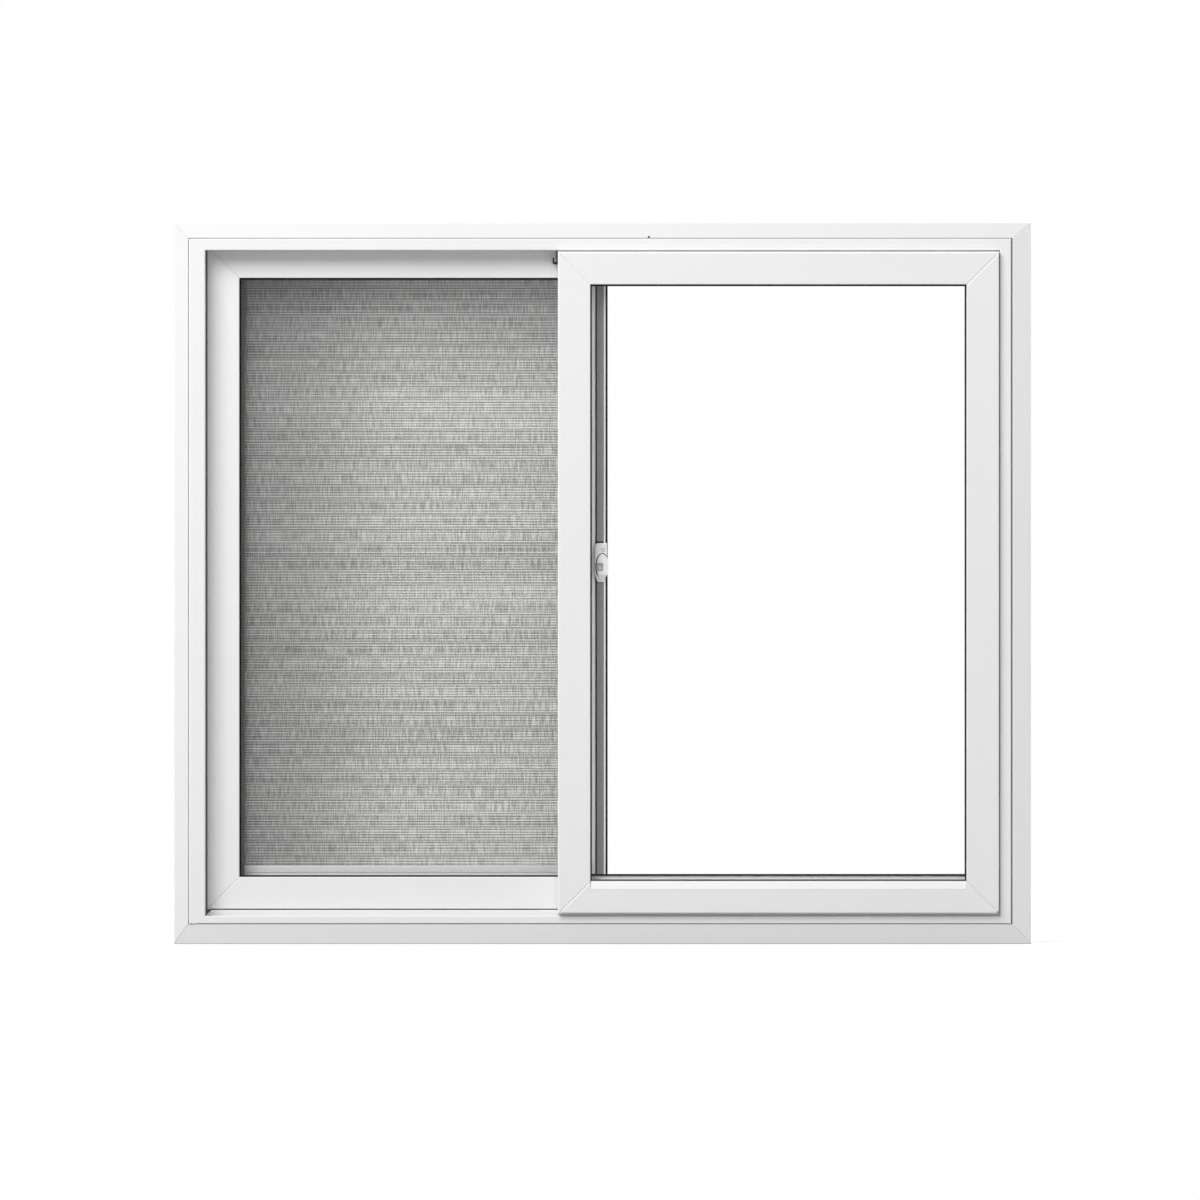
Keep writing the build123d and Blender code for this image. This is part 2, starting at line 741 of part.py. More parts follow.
# Black hooked cap on the back of the front meeting stile, just under the head
cap_right = front_sash.left
cap_top = frame_opening.top - CAP_HEAD_GAP
cap_bottom = cap_top - CAP_HEIGHT
cap_left = cap_right - CAP_REACH
with BuildPart() as hooked_cap:
    with BuildSketch(front_plane(front_sash_back)) as hook:
        with BuildLine():
            Polyline(
                (cap_right, cap_top),
                (cap_right - CAP_LEG, cap_top),
                (cap_right - CAP_LEG, cap_bottom + CAP_WIRE),
                (cap_left + CAP_LEG, cap_bottom + CAP_WIRE),
                (cap_left + CAP_LEG, cap_bottom + CAP_HOOK),
                (cap_left, cap_bottom + CAP_HOOK),
                (cap_left, cap_bottom),
                (cap_right + CAP_TAB, cap_bottom),
                (cap_right + CAP_TAB, cap_bottom + CAP_TAB_HEIGHT),
                (cap_right, cap_bottom + CAP_TAB_HEIGHT),
                close=True,
            )
        make_face()
        fillet(hook.vertices().sort_by_distance((cap_left, cap_bottom, 0))[0], CAP_RADIUS)
    extrude(amount=-CAP_THICKNESS)
keep(hooked_cap, "front_sash_hooked_cap")

# Latch: a rubber pad in the channel, a moulded body on it and an oval thumb turn with a scooped grip
latch_left = channel_leg_side + LATCH_SIDE_GAP
latch_x = latch_left + LATCH_WIDTH / 2
latch_back = channel_lip_depth
latch_front = latch_back - LATCH_THICKNESS
half_width = LATCH_WIDTH / 2
half_height = LATCH_HEIGHT / 2
latch_plane = Plane(origin=(latch_x, y_at(latch_back), LATCH_CENTRE_Z), x_dir=(1, 0, 0), z_dir=(0, -1, 0))
turn_x = latch_x + TURN_OFFSET_X
turn_z = LATCH_CENTRE_Z - TURN_DROP
turn_plane = Plane(origin=(turn_x, y_at(latch_front), turn_z), x_dir=(1, 0, 0), z_dir=(0, -1, 0))
turn_face = latch_front - TURN_THICKNESS
turn_foot = turn_z - TURN_HEIGHT / 2

with BuildPart() as scoop:
    with BuildSketch(turn_plane.offset(TURN_THICKNESS)):
        with Locations((-SCOOP_X, -SCOOP_Z)):
            RectangleRounded(SCOOP_WIDTH, SCOOP_HEIGHT, LATCH_EDGE)
    extrude(amount=-SCOOP_CUT)

with BuildPart() as latch_body:
    with BuildSketch(latch_plane) as latch_outline:
        with BuildLine():
            Polyline(
                (-half_width, half_height),
                (half_width, half_height),
                (half_width, LATCH_TAIL - half_height),
                (half_width - LATCH_TAPER, -half_height),
                (LATCH_TAPER - half_width, -half_height),
                (-half_width, LATCH_TAIL - half_height),
                close=True,
            )
        make_face()
        fillet(latch_outline.vertices().sort_by_distance((-half_width, half_height, 0))[0], LATCH_SHOULDER)
    extrude(amount=LATCH_THICKNESS)
    fillet(latch_body.faces().sort_by(Axis.Y)[0].edges(), LATCH_EDGE)
    with BuildSketch(Plane.YZ.offset(latch_left)):
        with BuildLine():
            Polyline(
                (y_at(latch_front), LATCH_CENTRE_Z - half_height),
                (y_at(latch_front + LATCH_TAIL_FALL), LATCH_CENTRE_Z - half_height),
                (y_at(latch_front), LATCH_CENTRE_Z - half_height + LATCH_TAIL),
                close=True,
            )
        make_face()
    extrude(amount=LATCH_WIDTH, mode=Mode.SUBTRACT)
    with BuildSketch(latch_plane.offset(LATCH_THICKNESS)):
        with Locations((LATCH_POCKET_X, LATCH_POCKET_Z)):
            RectangleRounded(LATCH_POCKET, LATCH_POCKET, LATCH_EDGE)
    extrude(amount=-LATCH_POCKET_CUT, mode=Mode.SUBTRACT)
    with BuildSketch(turn_plane):
        Ellipse(TURN_WIDTH / 2 + TURN_GROOVE, TURN_HEIGHT / 2 + TURN_GROOVE)
        Ellipse(TURN_WIDTH / 2, TURN_HEIGHT / 2, mode=Mode.SUBTRACT)
    extrude(amount=-TURN_GROOVE_CUT, mode=Mode.SUBTRACT)
    add(scoop.part, mode=Mode.SUBTRACT)
keep(latch_body, "latch_body")

pad = Rect(
    fin_left,
    strip_right,
    LATCH_CENTRE_Z - half_height - LATCH_PAD_SHOW_FOOT,
    LATCH_CENTRE_Z + half_height + LATCH_PAD_SHOW_TOP,
)
keep(plate(pad, latch_back, strip_face - latch_back), "latch_pad")
with BuildPart() as latch_turn:
    with BuildSketch(turn_plane):
        Ellipse(TURN_WIDTH / 2, TURN_HEIGHT / 2)
    extrude(amount=TURN_THICKNESS)
    fillet(latch_turn.faces().sort_by(Axis.Y)[0].edges(), LATCH_EDGE)
    with BuildSketch(Plane.YZ.offset(turn_x)):
        with BuildLine():
            Polyline(
                (y_at(turn_face), turn_foot),
                (y_at(turn_face + TURN_FALL), turn_foot),
                (y_at(turn_face), turn_foot + TURN_SLOPE),
                close=True,
            )
        make_face()
    extrude(amount=TURN_WIDTH, both=True, mode=Mode.SUBTRACT)
    add(scoop.part, mode=Mode.SUBTRACT)
keep(latch_turn, "latch_turn")

# Roller blind on the back of the rear sash: cassette with end caps, side guides, cloth and hem bar
cassette_left = rear_glass.left - CASSETTE_OVERHANG
cassette_right = rear_glass.right + CASSETTE_OVERHANG
cassette_bottom = rear_glass.top + CASSETTE_LIFT
cassette_plane = Plane.YZ.offset(cassette_left)
cassette_middle_y = y_at(rear_sash_back + CASSETTE_DEPTH / 2)
cassette_middle_z = cassette_bottom + CASSETTE_HEIGHT / 2


def cassette_profile(sketch):
    """Draws the cassette's D-shaped section in an open sketch."""
    with Locations((cassette_middle_y, cassette_middle_z)):
        Rectangle(CASSETTE_DEPTH, CASSETTE_HEIGHT)
    fillet(sketch.vertices().group_by(Axis.X)[-1], CASSETTE_ROUND)


slot_width = FABRIC_THICKNESS + 2 * FABRIC_PLAY
with BuildPart() as cassette:
    with BuildSketch(cassette_plane) as d_shape:
        cassette_profile(d_shape)
        with Locations((y_at(FABRIC_DEPTH), cassette_bottom + CASSETTE_SLOT_CUT / 2)):
            Rectangle(slot_width, CASSETTE_SLOT_CUT, mode=Mode.SUBTRACT)
    extrude(amount=cassette_right - cassette_left)
keep(cassette, "blind_cassette")

with BuildPart() as end_caps:
    for start in (cassette_left - END_CAP, cassette_right):
        with BuildSketch(Plane.YZ.offset(start)) as cap_shape:
            cassette_profile(cap_shape)
        extrude(amount=END_CAP)
keep(end_caps, "blind_end_caps")

guide_bottom = rear_glass.bottom - GUIDE_DROP
guide_inner = {"left": rear_glass.left + GUIDE_SHOW, "right": rear_glass.right - GUIDE_SHOW}
guide_middle_y = y_at(rear_sash_back + GUIDE_DEPTH / 2)
with BuildPart() as guides:
    for side, outwards in (("left", -1), ("right", 1)):
        inner = guide_inner[side]
        with BuildSketch(Plane.XY.offset(guide_bottom)):
            with Locations((inner + outwards * GUIDE_WIDTH / 2, guide_middle_y)):
                Rectangle(GUIDE_WIDTH, GUIDE_DEPTH)
            with Locations((inner + outwards * GUIDE_SLOT_CUT / 2, y_at(FABRIC_DEPTH))):
                Rectangle(GUIDE_SLOT_CUT, GUIDE_SLOT, mode=Mode.SUBTRACT)
        extrude(amount=cassette_bottom - guide_bottom)
keep(guides, "blind_side_guides")

cloth_left = guide_inner["left"] - FABRIC_ENTRY
cloth_right = guide_inner["right"] + FABRIC_ENTRY
bar_bottom = rear_glass.bottom + HEM_BAR_GAP
bar_top = bar_bottom + HEM_BAR_HEIGHT
cloth_bottom = bar_top - HEM_POCKET + FABRIC_PLAY
cloth_top = cassette_bottom + CASSETTE_SLOT_CUT - FABRIC_PLAY
cloth = Rect(cloth_left, cloth_right, cloth_bottom, cloth_top)
keep(plate(cloth, FABRIC_DEPTH - FABRIC_THICKNESS / 2, FABRIC_THICKNESS), "blind_cloth")

with BuildPart() as hem_bar:
    with BuildSketch(Plane.YZ.offset(cloth_left)) as bar_shape:
        with Locations((y_at(FABRIC_DEPTH), (bar_bottom + bar_top) / 2)):
            RectangleRounded(HEM_BAR_THICKNESS, HEM_BAR_HEIGHT, HEM_BAR_ROUND)
        with Locations((y_at(FABRIC_DEPTH), bar_top - HEM_POCKET / 2)):
            Rectangle(slot_width, HEM_POCKET, mode=Mode.SUBTRACT)
    extrude(amount=cloth_right - cloth_left)
keep(hem_bar, "blind_hem_bar")
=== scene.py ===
"""The looks of a two-sash sliding window: a finish for every piece, the blind's cloth, a studio and a camera.

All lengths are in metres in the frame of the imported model: X to the right as one looks at the front, Y to the
back and Z up, with the origin on the floor below the middle of the window.
"""

import logging
import math
from abc import ABC, abstractmethod
from dataclasses import dataclass
from enum import Enum

import bmesh
import bpy
from mathutils import Matrix, Vector, noise


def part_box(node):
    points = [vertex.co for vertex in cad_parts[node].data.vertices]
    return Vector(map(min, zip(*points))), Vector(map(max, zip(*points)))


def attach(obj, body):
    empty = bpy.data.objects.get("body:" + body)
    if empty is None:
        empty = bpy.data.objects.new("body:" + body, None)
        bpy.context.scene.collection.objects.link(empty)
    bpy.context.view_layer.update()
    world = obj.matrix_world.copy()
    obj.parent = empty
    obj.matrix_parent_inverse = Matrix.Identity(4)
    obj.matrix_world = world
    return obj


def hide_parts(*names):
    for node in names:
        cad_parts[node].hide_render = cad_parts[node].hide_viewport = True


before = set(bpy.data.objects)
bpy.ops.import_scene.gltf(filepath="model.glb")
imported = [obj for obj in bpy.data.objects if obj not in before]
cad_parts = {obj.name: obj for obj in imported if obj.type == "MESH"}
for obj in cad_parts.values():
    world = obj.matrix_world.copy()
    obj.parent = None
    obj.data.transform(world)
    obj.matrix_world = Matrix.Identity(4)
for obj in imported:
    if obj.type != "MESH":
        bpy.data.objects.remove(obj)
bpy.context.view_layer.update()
MM = 0.001
# Vertices nearer than this are one
WELD = 0.01 * MM
# A bmesh grid of this size is one unit wide
UNIT_GRID = 0.5
# Blender's noise seldom leaves this range
NOISE_LOW = 0.3
NOISE_HIGH = 0.7
# The blind's yarns are about half a millimetre thick, and are drawn as these wider lines so that they show
YARN_MM = 3.73
LOG = logging.getLogger("sliding_window")

Point = tuple[float, float, float]
Colour = tuple[float, float, float, float]
Entry = float | Point | Colour | bpy.types.NodeSocket


def linear(hex_code: str) -> Colour:
    """Turns an sRGB hex colour to linear light.

    Args:
        hex_code: Six hex digits, as in "F2F2F0".

    Returns:
        Linear red, green and blue, and an alpha of one.
    """
    channels = [int(hex_code[i:i + 2], 16) / 255 for i in (0, 2, 4)]
    red, green, blue = (c / 12.92 if c <= 0.04045 else ((c + 0.055) / 1.055) ** 2.4 for c in channels)
    return red, green, blue, 1.0


def per_metre(size_mm: float) -> float:
    """How many features of a size in millimetres fit in a metre, which is a texture's scale."""
    return 1.0 / (size_mm * MM)


def add_node(
    tree: bpy.types.NodeTree, kind: str, inputs: dict[str | int, Entry] | None = None, **settings: object
) -> bpy.types.Node:
    """Adds one shader node with its settings and links.

    Args:
        tree: The node tree that gets the node.
        kind: Blender's name for the type of node.
        inputs: A value, or the output that feeds it, for each input by its name or number.
        **settings: Properties of the node itself.

    Returns:
        The new node.
    """
    made = tree.nodes.new(kind)
    for name, value in settings.items():
        setattr(made, name, value)
    for key, value in (inputs or {}).items():
        if isinstance(value, bpy.types.NodeSocket):
            tree.links.new(value, made.inputs[key])
        else:
            made.inputs[key].default_value = value
    return made


class Run(Enum):
    """The way a bar was extruded, as what its coordinates are multiplied by to draw lines out along it."""

    LEVEL = (0.01, 1.0, 1.0)
    UPRIGHT = (1.0, 1.0, 0.01)


@dataclass(frozen=True)
class Finish(ABC):
    """A surface finish, which makes its material when it is first asked for it."""

    name: str

    def material(self) -> bpy.types.Material:
        """Gives the material of this finish.

        Returns:
            The material, made at the first call.
        """
        made = bpy.data.materials.get(self.name)
        if made is None:
            made = bpy.data.materials.new(self.name)
            made.use_nodes = True
            made.node_tree.nodes.clear()
            surface = self.shader(made.node_tree)
            add_node(made.node_tree, "ShaderNodeOutputMaterial", {"Surface": surface})
        return made

    @abstractmethod
    def shader(self, tree: bpy.types.NodeTree) -> bpy.types.NodeSocket:
        """Builds the nodes of the finish and gives the output that ends them."""


@dataclass(frozen=True)
class CreviceShade:
    """Painted shade: darkens a colour in joints, grooves and gaps by how shut in they are, standing in for the
    shade that falls there.
    """

    colour: str = "201F1E"
    reach_mm: float = 3.0
    # How open a spot is where the painted shade is full, and where it stops
    full_shade_at: float = 0.14
    clear: float = 0.52
    samples: int = 6
    own_shape_only: bool = False

    def paint_shade(self, tree: bpy.types.NodeTree, unshaded: bpy.types.NodeSocket) -> bpy.types.NodeSocket:
        """Darkens a colour where the surface is shut in.

        Args:
            tree: The material's node tree.
            unshaded: The colour without the painted shade.

        Returns:
            The colour with its painted shade.
        """
        openness = add_node(
            tree, "ShaderNodeAmbientOcclusion", {"Distance": self.reach_mm * MM},
            samples=self.samples, only_local=self.own_shape_only,
        )
        share = add_node(
            tree, "ShaderNodeMapRange",
            {"Value": openness.outputs["AO"], "From Min": self.full_shade_at, "From Max": self.clear},
            interpolation_type="SMOOTHSTEP",
        )
        return add_node(
            tree, "ShaderNodeMix", {0: share.outputs[0], 6: linear(self.colour), 7: unshaded}, data_type="RGBA"
        ).outputs[2]


@dataclass(frozen=True)
class ExtrudedVinyl(Finish):
    """Unplasticised PVC from an extrusion die: satin white, with faint lines along the bar."""

    run: Run = Run.LEVEL
    light: str = "F1F1F1"
    dark: str = "ECECEC"
    roughness: float = 0.46
    ior: float = 1.53
    # The die leaves lines some tenths of a millimetre apart, drawn coarser so that they show
    line_mm: float = 3.2
    line_share: float = 0.7
    peel_mm: float = 5.5
    cloud_mm: float = 160.0
    gloss_drift: float = 0.04
    relief_mm: float = 0.012
    # Painted shade in joints, grooves and gaps
    crevice_shade: CreviceShade = CreviceShade()

    def shader(self, tree: bpy.types.NodeTree) -> bpy.types.NodeSocket:
        """Builds die lines, a slight unevenness of the skin and a faint drift of tone.

        Args:
            tree: The material's node tree.

        Returns:
            The shader's output.
        """
        place = add_node(tree, "ShaderNodeTexCoord").outputs["Object"]
        drawn = add_node(tree, "ShaderNodeVectorMath", {0: place, 1: self.run.value}, operation="MULTIPLY")
        lines = add_node(
            tree, "ShaderNodeTexNoise",
            {"Vector": drawn.outputs[0], "Scale": per_metre(self.line_mm), "Detail": 2.0},
        )
        peel = add_node(
            tree, "ShaderNodeTexNoise", {"Vector": place, "Scale": per_metre(self.peel_mm), "Detail": 1.0}
        )
        cloud = add_node(
            tree, "ShaderNodeTexNoise", {"Vector": place, "Scale": per_metre(self.cloud_mm), "Detail": 2.0}
        )
        height = add_node(
            tree, "ShaderNodeMath", {0: lines.outputs[0], 1: self.line_share, 2: peel.outputs[0]},
            operation="MULTIPLY_ADD",
        )
        bump = add_node(
            tree, "ShaderNodeBump",
            {"Height": height.outputs[0], "Strength": 1.0, "Distance": self.relief_mm * MM},
        )
        drift = add_node(
            tree, "ShaderNodeMath", {0: lines.outputs[0], 1: cloud.outputs[0]}, operation="MULTIPLY"
        )
        tone = add_node(
            tree, "ShaderNodeMix", {0: drift.outputs[0], 6: linear(self.light), 7: linear(self.dark)},
            data_type="RGBA",
        )
        gloss = add_node(
            tree, "ShaderNodeMapRange",
            {
                "Value": cloud.outputs[0],
                "To Min": self.roughness - self.gloss_drift,
                "To Max": self.roughness + self.gloss_drift,
            },
        )
        return add_node(
            tree, "ShaderNodeBsdfPrincipled",
            {
                "Base Color": self.crevice_shade.paint_shade(tree, tone.outputs[2]),
                "Roughness": gloss.outputs[0],
                "IOR": self.ior,
                "Normal": bump.outputs[0],
            },
        ).outputs[0]


@dataclass(frozen=True)
class MouldedPlastic(Finish):
    """Injection-moulded plastic: even, with the fine spark grain of its mould."""

    light: str = "F2F2F0"
    dark: str = "EDEDEB"
    roughness: float = 0.3
    ior: float = 1.54
    grain_mm: float = 0.9
    flow_mm: float = 22.0
    relief_mm: float = 0.006
    gloss_drift: float = 0.03
    # Painted shade in joints, grooves and gaps
    crevice_shade: CreviceShade = CreviceShade()

    def shader(self, tree: bpy.types.NodeTree) -> bpy.types.NodeSocket:
        """Builds the mould's grain and the slow change of tone that flow leaves.

        Args:
            tree: The material's node tree.

        Returns:
            The shader's output.
        """
        place = add_node(tree, "ShaderNodeTexCoord").outputs["Object"]
        grain = add_node(
            tree, "ShaderNodeTexNoise", {"Vector": place, "Scale": per_metre(self.grain_mm), "Detail": 1.0}
        )
        flow = add_node(
            tree, "ShaderNodeTexNoise", {"Vector": place, "Scale": per_metre(self.flow_mm), "Detail": 2.0}
        )
        bump = add_node(
            tree, "ShaderNodeBump",
            {"Height": grain.outputs[0], "Strength": 1.0, "Distance": self.relief_mm * MM},
        )
        tone = add_node(
            tree, "ShaderNodeMix", {0: flow.outputs[0], 6: linear(self.light), 7: linear(self.dark)},
            data_type="RGBA",
        )
        gloss = add_node(
            tree, "ShaderNodeMapRange",
            {
                "Value": flow.outputs[0],
                "To Min": self.roughness - self.gloss_drift,
                "To Max": self.roughness + self.gloss_drift,
            },
        )
        return add_node(
            tree, "ShaderNodeBsdfPrincipled",
            {
                "Base Color": self.crevice_shade.paint_shade(tree, tone.outputs[2]),
                "Roughness": gloss.outputs[0],
                "IOR": self.ior,
                "Normal": bump.outputs[0],
            },
        ).outputs[0]


@dataclass(frozen=True)
class GlazingRubber(Finish):
    """Extruded EPDM rubber: near black and matt, with a pale bloom in places."""

    black: str = "101010"
    bloom: str = "1C1C1C"
    roughness: float = 0.72
    ior: float = 1.52
    shine: float = 0.3
    bloom_mm: float = 14.0
    skin_mm: float = 1.2
    relief_mm: float = 0.02

    def shader(self, tree: bpy.types.NodeTree) -> bpy.types.NodeSocket:
        """Builds the rubber's matt skin and its patchy bloom.

        Args:
            tree: The material's node tree.

        Returns:
            The shader's output.
        """
        place = add_node(tree, "ShaderNodeTexCoord").outputs["Object"]
        patches = add_node(
            tree, "ShaderNodeTexNoise", {"Vector": place, "Scale": per_metre(self.bloom_mm), "Detail": 3.0}
        )
        skin = add_node(
            tree, "ShaderNodeTexNoise", {"Vector": place, "Scale": per_metre(self.skin_mm), "Detail": 1.0}
        )
        bump = add_node(
            tree, "ShaderNodeBump",
            {"Height": skin.outputs[0], "Strength": 1.0, "Distance": self.relief_mm * MM},
        )
        tone = add_node(
            tree, "ShaderNodeMix", {0: patches.outputs[0], 6: linear(self.black), 7: linear(self.bloom)},
            data_type="RGBA",
        )
        return add_node(
            tree, "ShaderNodeBsdfPrincipled",
            {
                "Base Color": tone.outputs[2],
                "Roughness": self.roughness,
                "IOR": self.ior,
                "Specular IOR Level": self.shine,
                "Normal": bump.outputs[0],
            },
        ).outputs[0]


@dataclass(frozen=True)
class PileSeal(Finish):
    """Woven polypropylene pile, as on a carpet: a dense brush of upright fibres with dark gaps among them."""

    light: str = "EDEDEB"
    dark: str = "CFCFCD"
    roughness: float = 0.9
    sheen: float = 0.4
    # The fibres are hairs, so tufts of them are drawn
    tuft_mm: float = 0.9
    tuft_run_mm: float = 6.0
    relief_mm: float = 0.15

    def shader(self, tree: bpy.types.NodeTree) -> bpy.types.NodeSocket:
        """Builds upright tufts in tone and relief.

        Args:
            tree: The material's node tree.

        Returns:
            The shader's output.
        """
        place = add_node(tree, "ShaderNodeTexCoord").outputs["Object"]
        tuft = per_metre(self.tuft_mm)
        drawn = add_node(
            tree, "ShaderNodeVectorMath", {0: place, 1: (tuft, tuft, per_metre(self.tuft_run_mm))},
            operation="MULTIPLY",
        )
        tufts = add_node(
            tree, "ShaderNodeTexNoise", {"Vector": drawn.outputs[0], "Scale": 1.0, "Detail": 2.0}
        )
        tone = add_node(
            tree, "ShaderNodeMix", {0: tufts.outputs[0], 6: linear(self.dark), 7: linear(self.light)},
            data_type="RGBA",
        )
        bump = add_node(
            tree, "ShaderNodeBump",
            {"Height": tufts.outputs[0], "Strength": 1.0, "Distance": self.relief_mm * MM},
        )
        return add_node(
            tree, "ShaderNodeBsdfPrincipled",
            {
                "Base Color": tone.outputs[2],
                "Roughness": self.roughness,
                "Sheen Weight": self.sheen,
                "Normal": bump.outputs[0],
            },
        ).outputs[0]


@dataclass(frozen=True)
class ClearGlass(Finish):
    """Float glass with an anti-reflective coat: clear head-on, and a mirror only at a glancing look."""

    tint: str = "FFFFFF"
    ior: float = 1.45
    # The share of light that bare glass mirrors head-on, and what the coat leaves of it
    head_on: float = 0.034
    coated: float = 0.002

    def shader(self, tree: bpy.types.NodeTree) -> bpy.types.NodeSocket:
        """Builds a clear pane whose reflection starts at almost nothing head-on.

        Args:
            tree: The material's node tree.

        Returns:
            The shader's output.
        """
        # Rays go straight on inside the pane, so its back face must not reflect them as glass to air does
        behind = add_node(tree, "ShaderNodeNewGeometry").outputs["Backfacing"]
        index = add_node(
            tree, "ShaderNodeMix", {0: behind, 2: self.ior, 3: 1.0 / self.ior}, data_type="FLOAT"
        )
        bounce = add_node(tree, "ShaderNodeFresnel", {"IOR": index.outputs[0]})
        share = add_node(
            tree, "ShaderNodeMapRange",
            {"Value": bounce.outputs[0], "From Min": self.head_on, "From Max": 1.0, "To Min": self.coated},
        )
        through = add_node(tree, "ShaderNodeBsdfTransparent", {"Color": linear(self.tint)})
        mirror = add_node(tree, "ShaderNodeBsdfGlossy", {"Color": linear("FFFFFF"), "Roughness": 0.0})
        return add_node(
            tree, "ShaderNodeMixShader", {0: share.outputs[0], 1: through.outputs[0], 2: mirror.outputs[0]}
        ).outputs[0]


@dataclass(frozen=True)
class MillMetal(Finish):
    """Rolled or drawn aluminium as it left the mill: dull, with fine lines along it."""

    run: Run = Run.LEVEL
    light: str = "F4F5F5"
    dark: str = "E6E7E8"
    roughness: float = 0.6
    line_mm: float = 1.1
    gloss_drift: float = 0.08
    relief_mm: float = 0.01

    def shader(self, tree: bpy.types.NodeTree) -> bpy.types.NodeSocket:
        """Builds the drawn lines in tone, gloss and relief.

        Args:
            tree: The material's node tree.

        Returns:
            The shader's output.
        """
        place = add_node(tree, "ShaderNodeTexCoord").outputs["Object"]
        drawn = add_node(tree, "ShaderNodeVectorMath", {0: place, 1: self.run.value}, operation="MULTIPLY")
        lines = add_node(
            tree, "ShaderNodeTexNoise",
            {"Vector": drawn.outputs[0], "Scale": per_metre(self.line_mm), "Detail": 2.0},
        )
        tone = add_node(
            tree, "ShaderNodeMix", {0: lines.outputs[0], 6: linear(self.light), 7: linear(self.dark)},
            data_type="RGBA",
        )
        gloss = add_node(
            tree, "ShaderNodeMapRange",
            {
                "Value": lines.outputs[0],
                "To Min": self.roughness - self.gloss_drift,
                "To Max": self.roughness + self.gloss_drift,
            },
        )
        bump = add_node(
            tree, "ShaderNodeBump",
            {"Height": lines.outputs[0], "Strength": 1.0, "Distance": self.relief_mm * MM},
        )
        return add_node(
            tree, "ShaderNodeBsdfPrincipled",
            {
                "Base Color": tone.outputs[2],
                "Metallic": 1.0,
                "Roughness": gloss.outputs[0],
                "Normal": bump.outputs[0],
            },
        ).outputs[0]


@dataclass(frozen=True)
class PowderCoat(Finish):
    """Powder-coated metal: a baked skin with the slight peel of such coats, pearly if it holds flake."""

    light: str = "D2D2D0"
    dark: str = "CCCCCA"
    roughness: float = 0.42
    ior: float = 1.5
    peel_mm: float = 2.4
    speck_mm: float = 0.8
    relief_mm: float = 0.02
    flake: float = 0.0
    # Painted shade in grooves, from the piece's own shape only
    crevice_shade: CreviceShade = CreviceShade(own_shape_only=True)

    def shader(self, tree: bpy.types.NodeTree) -> bpy.types.NodeSocket:
        """Builds the coat's peel and its fine speckle.

        Args:
            tree: The material's node tree.

        Returns:
            The shader's output.
        """
        place = add_node(tree, "ShaderNodeTexCoord").outputs["Object"]
        peel = add_node(
            tree, "ShaderNodeTexNoise", {"Vector": place, "Scale": per_metre(self.peel_mm), "Detail": 1.0}
        )
        specks = add_node(
            tree, "ShaderNodeTexNoise", {"Vector": place, "Scale": per_metre(self.speck_mm), "Detail": 0.0}
        )
        bump = add_node(
            tree, "ShaderNodeBump",
            {"Height": peel.outputs[0], "Strength": 1.0, "Distance": self.relief_mm * MM},
        )
        tone = add_node(
            tree, "ShaderNodeMix", {0: specks.outputs[0], 6: linear(self.light), 7: linear(self.dark)},
            data_type="RGBA",
        )
        return add_node(
            tree, "ShaderNodeBsdfPrincipled",
            {
                "Base Color": self.crevice_shade.paint_shade(tree, tone.outputs[2]),
                "Metallic": self.flake,
                "Roughness": self.roughness,
                "IOR": self.ior,
                "Normal": bump.outputs[0],
            },
        ).outputs[0]


@dataclass(frozen=True)
class Streaks:
    """The unevenness of yarn: how far its streaks run across and down the cloth, and how much they vary."""

    across_mm: float
    down_mm: float
    low: float
    high: float

    def draw(self, tree: bpy.types.NodeTree, place: bpy.types.NodeSocket) -> bpy.types.NodeSocket:
        """Stretches noise into streaks.

        Args:
            tree: The material's node tree.
            place: The cloth's own map, in metres.

        Returns:
            A value from low to high.
        """
        squeezed = add_node(
            tree, "ShaderNodeVectorMath",
            {0: place, 1: (per_metre(self.across_mm), per_metre(self.down_mm), 1.0)},
            operation="MULTIPLY",
        )
        grains = add_node(
            tree, "ShaderNodeTexNoise", {"Vector": squeezed.outputs[0], "Scale": 1.0, "Detail": 1.0},
            noise_dimensions="2D",
        )
        return add_node(
            tree, "ShaderNodeMapRange",
            {
                "Value": grains.outputs[0],
                "From Min": NOISE_LOW,
                "From Max": NOISE_HIGH,
                "To Min": self.low,
                "To Max": self.high,
            },
        ).outputs[0]


